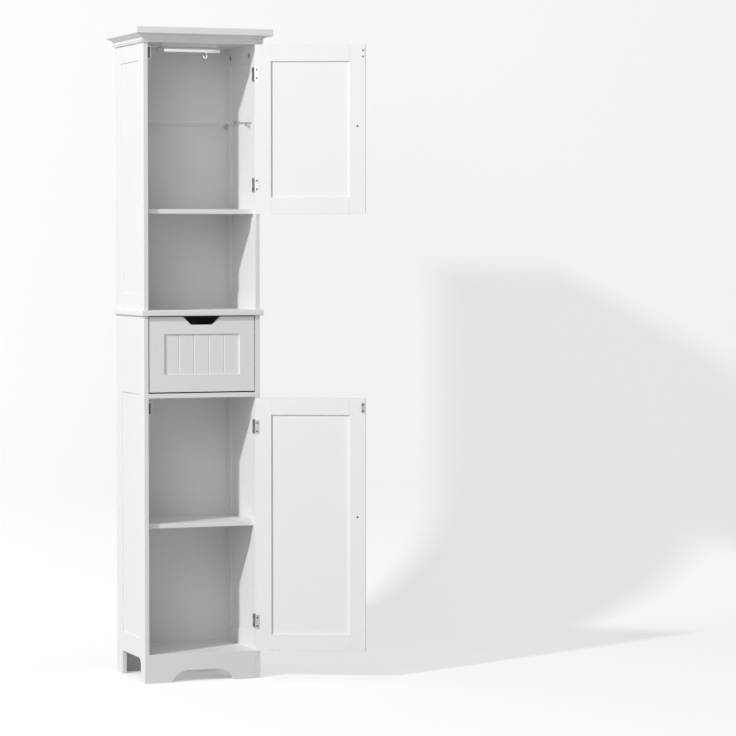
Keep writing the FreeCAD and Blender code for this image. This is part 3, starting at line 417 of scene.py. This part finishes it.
def vector_maths(tree, operation, *values):
    """A Vector Math node fed in order."""
    return add_node(tree, "ShaderNodeVectorMath", enumerate(values), operation=operation)


tree = finishes["hinge_steel"].node_tree
base = tree.nodes["Principled BSDF"].inputs["Base Color"]
place = tree.nodes.new("ShaderNodeTexCoord").outputs["Object"]
offset = vector_maths(tree, "SUBTRACT", place, barrel_axis)
level_offset = vector_maths(tree, "MULTIPLY", offset.outputs[0], (1, 1, 0))
from_axis = vector_maths(tree, "LENGTH", level_offset.outputs[0]).outputs["Value"]
shaded_barrel = maths(tree, "LESS_THAN", from_axis, barrel_radius)
feed(tree, base, tint(tree, "MIX", shaded_barrel, base.links[0].from_socket, barrel_shade_colour))
print("barrels darker within", barrel_radius * 1000, "mm of the pins' axis")

# %% [markdown]
# ## Glass
#
# The shelf is clear float glass. It shows by its edge, by what it mirrors and by a little smear. In truth it
# hardly darkens the boards below. A path tracer makes glass cast a full shadow, since it doesn't bend light on
# its way to a lamp. So shadow rays and bounced rays pass straight on, and only what is seen through the shelf
# is bent. The other way, tracing bent light to the lamp, costs far more samples for a shelf 4 pixels tall.

# %% Glass shelf
glass_tint, smear_share = (0.97, 0.98, 0.975, 1), 0.25

glass, tree, shader = new_finish("clear_float_glass", Metallic=0.0, Transmission_Weight=1.0, IOR=1.5)
smear = place_group(tree, paint_group, Colour=(0.965, 0.99, 0.98, 1), Peel_scale=60.0, Unevenness=0.02,
                    Roughness=0.0)
feed(tree, shader.inputs["Base Color"], smear.outputs["Colour"])
feed(tree, shader.inputs["Roughness"], maths(tree, "MULTIPLY", smear.outputs["Roughness"], smear_share))
ray = tree.nodes.new("ShaderNodeLightPath").outputs
passing = maths(tree, "MAXIMUM", ray["Is Shadow Ray"], ray["Is Diffuse Ray"])
clear = add_node(tree, "ShaderNodeBsdfTransparent", {"Color": glass_tint})
feed(tree, tree.nodes["Material Output"].inputs["Surface"],
     mixed(tree, passing, shader.outputs[0], clear.outputs[0]))
finishes["clear_glass"] = glass
print(glass.name, "with", len(tree.nodes), "nodes")

# %% A finish for every node
for name, node in nodes.items():
    for material_slot in node.material_slots:
        material_slot.material = finishes[slot_of[name]]
print(len(finishes), "finishes on", len(nodes), "nodes")

# %% [markdown]
# ## Eased edges
#
# No board has a razor edge. Lacquer rounds it, and the thin line of light along it is what makes a white board
# readable against another white board. The shape is right already, so each board is copied from its CAD node,
# its triangles are joined back into flat faces, and a Bevel modifier rounds the edges by a fraction of a
# millimetre. A bump trick in the material could fake this, but not against the light or in an exported mesh.

# %% Piece helpers
weld, crisp_angle = 1e-6, math.radians(12)


def as_mesh(made, name):
    """Turns a bmesh into a mesh and lets the bmesh go."""
    mesh = bpy.data.meshes.new(name)
    made.to_mesh(mesh)
    made.free()
    return mesh


def evaluated_mesh(piece):
    """The piece's mesh with its modifiers worked in."""
    bpy.context.view_layer.update()
    return bpy.data.meshes.new_from_object(piece.evaluated_get(bpy.context.evaluated_depsgraph_get()))


def frozen(piece):
    """The piece with its modifiers worked in, smooth over shallow angles and crisp over the rest."""
    mesh = evaluated_mesh(piece)
    piece.modifiers.clear()
    piece.data = mesh
    mesh.shade_smooth()
    mesh.set_sharp_from_angle(angle=crisp_angle)
    return piece


def add_bevel(piece, width):
    """A Bevel modifier that rounds every edge sharper than 30 degrees."""
    bevel = piece.modifiers.new("eased", "BEVEL")
    bevel.width = width
    bevel.segments = 2
    bevel.limit_method = "ANGLE"
    bevel.angle_limit = math.radians(30)


def finish_piece(piece, name, slot=None):
    """Gives a piece the finish of its slot, and the body of the node that it belongs to."""
    slot = slot or slot_of[name]
    piece.data.materials.clear()
    piece.data.materials.append(finishes[slot])
    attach(piece, body_of[name])


# %% Ease every board
board_edge, door_edge, thin_edge = 0.0008, 0.0006, 0.0003
coplanar = math.radians(0.4)


def eased(name, radius):
    """A copy of a CAD node with rounded edges, which stands for the node."""
    made = bmesh.new()
    made.from_mesh(nodes[name].data)
    bmesh.ops.remove_doubles(made, verts=made.verts, dist=weld)
    bmesh.ops.dissolve_limit(made, angle_limit=coplanar, verts=made.verts, edges=made.edges)
    piece = link_piece(f"{name}_eased", as_mesh(made, f"{name}_eased"))
    add_bevel(piece, radius)
    frozen(piece)
    finish_piece(piece, name)
    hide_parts(name)


for name in sorted(nodes):
    if slot_of[name] != "white_paint" or "moulding" in name:
        continue
    if name.endswith(("_side_panel", "door_panel", "beadboard")):
        eased(name, thin_edge)
    elif "door" in name or "drawer" in name:
        eased(name, door_edge)
    else:
        eased(name, board_edge)
for name in ("ceiling_strip", "drawer_sliders"):
    eased(name, thin_edge)

# %% [markdown]
# ## Crown moulding
#
# The moulding under the crown board turns a plain overhang into a cornice: a flat foot, a thin bead that catches
# the light, and a deep cove that stays in shade. It comes as one stick, cut into three lengths that meet in
# mitres at the front corners. So one section is drawn, and each length is that section between two cuts. At a
# mitre every point of the section is moved along by as much as it stands out, which is all that a mitre is. A
# section swept round a bent path would give the same corners, but as one piece and not as three.

# %% Section of the moulding
carcass_low, carcass_high = (Vector(corner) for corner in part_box("top_panel"))
moulding_low, moulding_high = (Vector(corner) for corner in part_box("crown_moulding_front"))
moulding_height = moulding_high.z - moulding_low.z
foot_out, lip = 0.0060, 0.0015
bead_out, bead_up, bead_radius = 0.0062, 0.0052, 0.0021
cove_out, cove_up = 0.0066, 0.0073
cove_reach = carcass_low.y - moulding_low.y - cove_out
cove_rise = moulding_height - lip - cove_up

section = [(0.0, moulding_height), (0.0, 0.0), (foot_out, 0.0), (foot_out, bead_up - bead_radius)]
section += [(bead_out + bead_radius * math.cos(turn), bead_up + bead_radius * math.sin(turn))
            for turn in arc(-math.pi / 2, math.pi / 2, 16)]
section += [(cove_out + cove_reach * (1 - math.cos(turn)), cove_up + cove_rise * math.sin(turn))
            for turn in arc(0, math.pi / 2, 12)]
section.append((cove_out + cove_reach, moulding_height))
print("moulding", round(cove_out + cove_reach, 4), "out,", round(moulding_height, 4), "high")


# %% Three lengths
def ringed(made, rings):
    """Skins a row of equal rings and closes both ends."""
    rows = [[made.verts.new(place) for place in ring] for ring in rings]
    count = len(rows[0])
    for before, after in zip(rows, rows[1:]):
        for number in range(count):
            nxt = (number + 1) % count
            made.faces.new((before[number], before[nxt], after[nxt], after[number]))
    made.faces.new(rows[0])
    made.faces.new(rows[-1])


def moulding_length(side, start, end):
    """One length of the section; start and end give the (x, y) of each cut for a distance out."""
    name = f"crown_moulding_{side}"
    made = bmesh.new()
    ringed(made, [[(*cut(out), moulding_low.z + up) for out, up in section] for cut in (start, end)])
    bmesh.ops.recalc_face_normals(made, faces=made.faces)
    piece = frozen(link_piece(f"{name}_run", as_mesh(made, name)))
    finish_piece(piece, name)
    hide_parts(name)
    print(piece.name, len(piece.data.polygons), "faces")


left, right, front, back = carcass_low.x, carcass_high.x, carcass_low.y, carcass_high.y
moulding_length("front", lambda out: (left - out, front - out), lambda out: (right + out, front - out))
moulding_length("left", lambda out: (left - out, back), lambda out: (left - out, front - out))
moulding_length("right", lambda out: (right + out, front - out), lambda out: (right + out, back))

# %% [markdown]
# ## Turned knobs
#
# Each door has a small metal knob on its outer face. It is turned on a lathe, and the way to draw a turned thing
# is to turn its profile: a few points from the seat, over the neck and the round head, to the middle of the
# front. Straight pieces between the points would show as rings, so the points are joined by a smooth curve
# first. A squashed ball on a cylinder would be quicker, but it lacks the neck's hollow.

# %% Lathe helpers
def smooth_profile(points, steps=6):
    """Points on a smooth curve through the given points (Catmull-Rom)."""
    ends = [points[0], *points, points[-1]]
    line = []
    for p0, p1, p2, p3 in zip(ends, ends[1:], ends[2:], ends[3:]):
        for step in range(steps):
            t = step / steps
            line.append(tuple(
                0.5 * (2 * b + (c - a) * t + (2 * a - 5 * b + 4 * c - d) * t * t + (3 * b - a - 3 * c + d) * t ** 3)
                for a, b, c, d in zip(p0, p1, p2, p3)
            ))
    return line + [points[-1]]


def turned(name, profile, sides=48):
    """A closed turned mesh; the profile is (radius, height) from one end of the axis to the other."""
    made = bmesh.new()
    rings = []
    for radius, height in profile:
        if radius < weld:
            rings.append([made.verts.new((0, 0, height))])
            continue
        turns = arc(0, 2 * math.pi, sides)[:-1]
        rings.append([made.verts.new((radius * math.cos(turn), radius * math.sin(turn), height)) for turn in turns])
    for low, high in zip(rings, rings[1:]):
        for number in range(sides):
            near, far = number, (number + 1) % sides
            corners = [low[near % len(low)], low[far % len(low)], high[far % len(high)], high[near % len(high)]]
            made.faces.new(list(dict.fromkeys(corners)))
    bmesh.ops.recalc_face_normals(made, faces=made.faces)
    mesh = as_mesh(made, name)
    mesh.shade_smooth()
    return mesh


# %% The two knobs
door_turn = math.radians(155)
door_out = Vector((math.sin(door_turn), -math.cos(door_turn), 0))
upright = Vector((0, 0, 1))
knob_points = [
    (0.0, 0.0), (0.0066, 0.0), (0.0060, 0.0012), (0.0056, 0.0045), (0.0066, 0.0080), (0.0105, 0.0112),
    (0.0132, 0.0142), (0.0137, 0.0172), (0.0124, 0.0206), (0.0082, 0.0236), (0.0038, 0.0246), (0.0, 0.02485),
]


def knob_seat(name):
    """Where the knob's axis meets the door's face, from the far points of its node."""
    across = Vector((-door_out.y, door_out.x, 0))
    places = [nodes[name].matrix_world @ vert.co for vert in nodes[name].data.vertices]
    outs, sides, ups = ([place.dot(way) for place in places] for way in (door_out, across, upright))
    return door_out * min(outs) + across * (min(sides) + max(sides)) / 2 + upright * (min(ups) + max(ups)) / 2


for which in ("lower", "upper"):
    name = f"{which}_door_knob"
    profile = [knob_points[0]] + smooth_profile(knob_points[1:-1]) + [knob_points[-1]]
    knob = link_piece(f"{which}_turned_knob", turned(f"{which}_turned_knob", profile))
    seat = knob_seat(name)
    aim = door_out.to_track_quat("Z", "Y").to_matrix().to_4x4()
    knob.data.transform(Matrix.Translation(seat) @ aim)
    finish_piece(knob, name)
    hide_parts(name)
    print(name, "seat", [round(v, 4) for v in seat])

# %% [markdown]
# ## Cross-headed screws
#
# A screw's head is what shows of it, and its cross recess is what makes it a screw. One head is made with care:
# a turned pan head, and a cross cut out of it with a Boolean modifier. The CAD nodes say where the screws are:
# each separate island of a node's mesh is one screw. Every head is turned by another angle, because nobody
# drives all screws to the same one.

# %% One screw head
head_height = 0.001
head_profile = [(0.0, 0.0), (0.0027, 0.0), (0.00272, 0.0003), (0.0024, 0.00072), (0.0016, 0.00092), (0.0, 0.00098)]
recess_depth, recess_length, recess_width = 0.0008, 0.0031, 0.0007
rim, flat_top = 0.05, 0.999


def box_mesh(name, low, high):
    """A box between two corners."""
    made = bmesh.new()
    bmesh.ops.create_cube(made, size=1)
    for vert in made.verts:
        vert.co = Vector([high[k] if vert.co[k] > 0 else low[k] for k in range(3)])
    return as_mesh(made, name)


def carved(name, mesh, cutters):
    """The mesh with each cutter mesh taken out of it."""
    block = link_piece(name, mesh)
    tools = [link_piece(f"{name}_cutter", cutter) for cutter in cutters]
    for tool in tools:
        modifier = block.modifiers.new("carve", "BOOLEAN")
        modifier.operation = "DIFFERENCE"
        modifier.object = tool
    result = evaluated_mesh(block)
    for used in [block, *tools]:
        bpy.data.objects.remove(used)
    return result


half_length, half_width = recess_length / 2, recess_width / 2
recess_floor, above = head_height - recess_depth, head_height * 2
head_mesh = carved("screw_head", turned("screw_head", head_profile, sides=24), [
    box_mesh("recess_a", (-half_length, -half_width, recess_floor), (half_length, half_width, above)),
    box_mesh("recess_b", (-half_width, -half_length, recess_floor), (half_width, half_length, above)),
])
for polygon in head_mesh.polygons:
    polygon.use_smooth = rim < polygon.normal.z < flat_top
print("screw head faces", len(head_mesh.polygons))


# %% A head on every screw
turn_step, same_plane = math.radians(37), 1e-5


def islands(name):
    """The separate solids of a node, each as the list of its corners."""
    made = bmesh.new()
    made.from_mesh(nodes[name].data)
    bmesh.ops.remove_doubles(made, verts=made.verts, dist=weld)
    met, found = set(), []
    for first in made.verts:
        if first in met:
            continue
        met.add(first)
        grown = [first]
        for vert in grown:
            for edge in vert.link_edges:
                other = edge.other_vert(vert)
                if other not in met:
                    met.add(other)
                    grown.append(other)
        found.append([vert.co.copy() for vert in grown])
    made.free()
    return sorted(found, key=lambda corners: (round(corners[0].z, 4), round(corners[0].x, 4)))


def heads_on(name, outward, label):
    """One piece with a screw head on each of a node's screws."""
    aim = outward.to_track_quat("Z", "Y").to_matrix().to_4x4()
    made = bmesh.new()
    screws = islands(name)
    for number, corners in enumerate(screws):
        reach = max(corner.dot(outward) for corner in corners)
        face = [corner for corner in corners if corner.dot(outward) > reach - same_plane]
        seat = sum(face, Vector()) / len(face) - outward * head_height
        copy = head_mesh.copy()
        copy.transform(Matrix.Translation(seat) @ aim @ Matrix.Rotation(turn_step * number, 4, "Z"))
        made.from_mesh(copy)
        bpy.data.meshes.remove(copy)
    piece = link_piece(label, as_mesh(made, label))
    finish_piece(piece, name)
    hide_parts(name)
    print(label, len(screws))


heads_on("hinge_side_screws", Vector((-1, 0, 0)), "hinge_side_screw_heads")
for which in ("lower", "upper"):
    heads_on(f"{which}_door_screws", -door_out, f"{which}_door_screw_heads")
    heads_on(f"{which}_door_knob_screw", -door_out, f"{which}_door_knob_screw_head")
bpy.data.meshes.remove(head_mesh)

# %% [markdown]
# ## Magnetic catches
#
# A catch is a moulded case with a magnet and two steel tongues. The tongues stand just proud of the dark magnet
# and touch the door's strike plate. From the front it reads as a dark face in a pale frame. The case is a box
# with its face carved out, and the magnet and tongues are blocks set into it. A dark picture on a plain box
# would show the same from the front, but nothing of the depth at the rim.

# %% Cases, magnets and tongues
case_wall, face_depth, overshoot = 0.0027, 0.0011, 0.001
magnet_set_back, tongue_set_back = 0.0007, 0.0001
tongue_offset, tongue_half, tongue_margin = 0.0042, 0.0005, 0.003
cases, magnets, tongues = bmesh.new(), bmesh.new(), bmesh.new()


def add_mesh(target, mesh):
    """Adds a mesh to a bmesh and removes the mesh."""
    target.from_mesh(mesh)
    bpy.data.meshes.remove(mesh)


for corners in islands("magnetic_catches"):
    low = Vector([min(corner[k] for corner in corners) for k in range(3)])
    high = Vector([max(corner[k] for corner in corners) for k in range(3)])
    back = low.y + face_depth
    inner_low = (low.x + case_wall, low.y - overshoot, low.z + case_wall)
    inner_high = (high.x - case_wall, back, high.z - case_wall)
    add_mesh(cases, carved("catch_case", box_mesh("catch_case", low, high),
                           [box_mesh("catch_face", inner_low, inner_high)]))
    add_mesh(magnets, box_mesh("block", (inner_low[0], low.y + magnet_set_back, inner_low[2]), inner_high))
    centre = (low.x + high.x) / 2
    for x in (centre - tongue_offset, centre + tongue_offset):
        add_mesh(tongues, box_mesh(
            "block",
            (x - tongue_half, low.y + tongue_set_back, inner_low[2] + tongue_margin),
            (x + tongue_half, back, inner_high[2] - tongue_margin),
        ))

catch = {}
for label, made, slot, edge in (
    ("catch_cases", cases, "catch_plastic", 0.0004),
    ("catch_magnets", magnets, "catch_plastic", 0.00015),
    ("catch_tongues", tongues, "strike_steel", 0.00015),
):
    catch[label] = link_piece(label, as_mesh(made, label))
    add_bevel(catch[label], edge)
    finish_piece(catch[label], "magnetic_catches", slot)
catch["catch_magnets"].data.materials[0] = finishes["ferrite"]
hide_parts("magnetic_catches")
print("catches:", ", ".join(catch))

# %% [markdown]
# ## The bar under the ceiling
#
# A chromed bar hangs under the ceiling board, with a small hook. Its left end sits in a short socket whose plain
# grey is painted shade, for the shadow that the cabinet's left side casts on that end. Chrome shows nothing of its
# own, only what is around it: the pale floor below and the grey ceiling above. So the bar's rounded section
# matters more than its colour. It is a string of rounded rings, and the hook is a round wire swept along a J. The
# socket is the same string of rings, short and a little thinner, with its own finish of painted grey shade.

# %% Rings of the bar and the wire
bar_low, bar_high = (Vector(corner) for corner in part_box("ceiling_bar"))
bar_depth, bar_height, hook_drop = 0.010, 0.014, 0.016
bar_y = (bar_low.y + bar_high.y) / 2
bar_z = bar_low.z + hook_drop + bar_height / 2
bar_tip = [(0.0, 0.0014), (0.0004, 0.0005), (0.0014, 0.0)]


def rounded_section(inset, steps=10):
    """Points (y, z) of the bar's upright rounded section, made smaller by an inset."""
    radius = bar_depth / 2 - inset
    half_straight = (bar_height - bar_depth) / 2
    return [(radius * math.cos(turn), end * half_straight + radius * math.sin(turn))
            for end, start in ((1, 0.0), (-1, math.pi)) for turn in arc(start, start + math.pi, steps)]


def bar_rings(start, end, inset):
    """Rings from start to end with rounded tips, all made thinner by an inset."""
    stops = [(start + x, tip) for x, tip in bar_tip] + [(end - x, tip) for x, tip in reversed(bar_tip)]
    return [[(x, bar_y + y, bar_z + z) for y, z in rounded_section(tip + inset)] for x, tip in stops]


def wire_rings(line, radius, sides=16):
    """Round rings along a line of (x, z) points in the bar's middle plane."""
    rings = []
    for number, (x, z) in enumerate(line):
        before, after = line[max(number - 1, 0)], line[min(number + 1, len(line) - 1)]
        along = Vector((after[0] - before[0], 0, after[1] - before[1])).normalized()
        side = Vector((0, 1, 0)).cross(along)
        rings.append([Vector((x, bar_y, z)) + side * (radius * math.cos(a)) + Vector((0, radius * math.sin(a), 0))
                      for a in arc(0, 2 * math.pi, sides)[:-1]])
    return rings


# %% Socket, bar and hook
socket_length, socket_overlap, socket_inset = 0.017, 0.002, 0.0008
wire, bend, straight = 0.0031, 0.0043, 0.003
hook_from_left = 0.139
hook_x = bar_low.x + hook_from_left - wire
hook_z = bar_low.z + wire + bend

hook_line = [(hook_x, bar_low.z + hook_drop + straight)]
hook_line += [(hook_x - bend + bend * math.cos(turn), hook_z - bend * math.sin(turn))
              for turn in arc(0, math.pi, 16)]
hook_line.append((hook_x - 2 * bend, hook_z + straight))

made = bmesh.new()
ringed(made, bar_rings(bar_low.x, bar_low.x + socket_length + socket_overlap, socket_inset))
shaded_socket_faces = len(made.faces)
ringed(made, bar_rings(bar_low.x + socket_length, bar_high.x, 0.0))
ringed(made, wire_rings(hook_line, wire))
bmesh.ops.recalc_face_normals(made, faces=made.faces)
bar = link_piece("chrome_bar", as_mesh(made, "chrome_bar"))
for polygon in bar.data.polygons:
    polygon.use_smooth = len(polygon.vertices) == 4
finish_piece(bar, "ceiling_bar")
# The socket's grey finish is painted shade for the shadow on the bar's left end.
bar.data.materials.append(finishes["socket"])
for polygon in bar.data.polygons[:shaded_socket_faces]:
    polygon.material_index = 1
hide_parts("ceiling_bar")
print("bar from", [round(v, 4) for v in bar_low], "to", [round(v, 4) for v in bar_high])

# %% [markdown]
#
# Rounding only takes material away, and each new piece is made inside its node's box, so the dressed cabinet
# must fit in the CAD box.

# %% Finish
for material in list(bpy.data.materials):
    if material.users == 0:
        bpy.data.materials.remove(material)
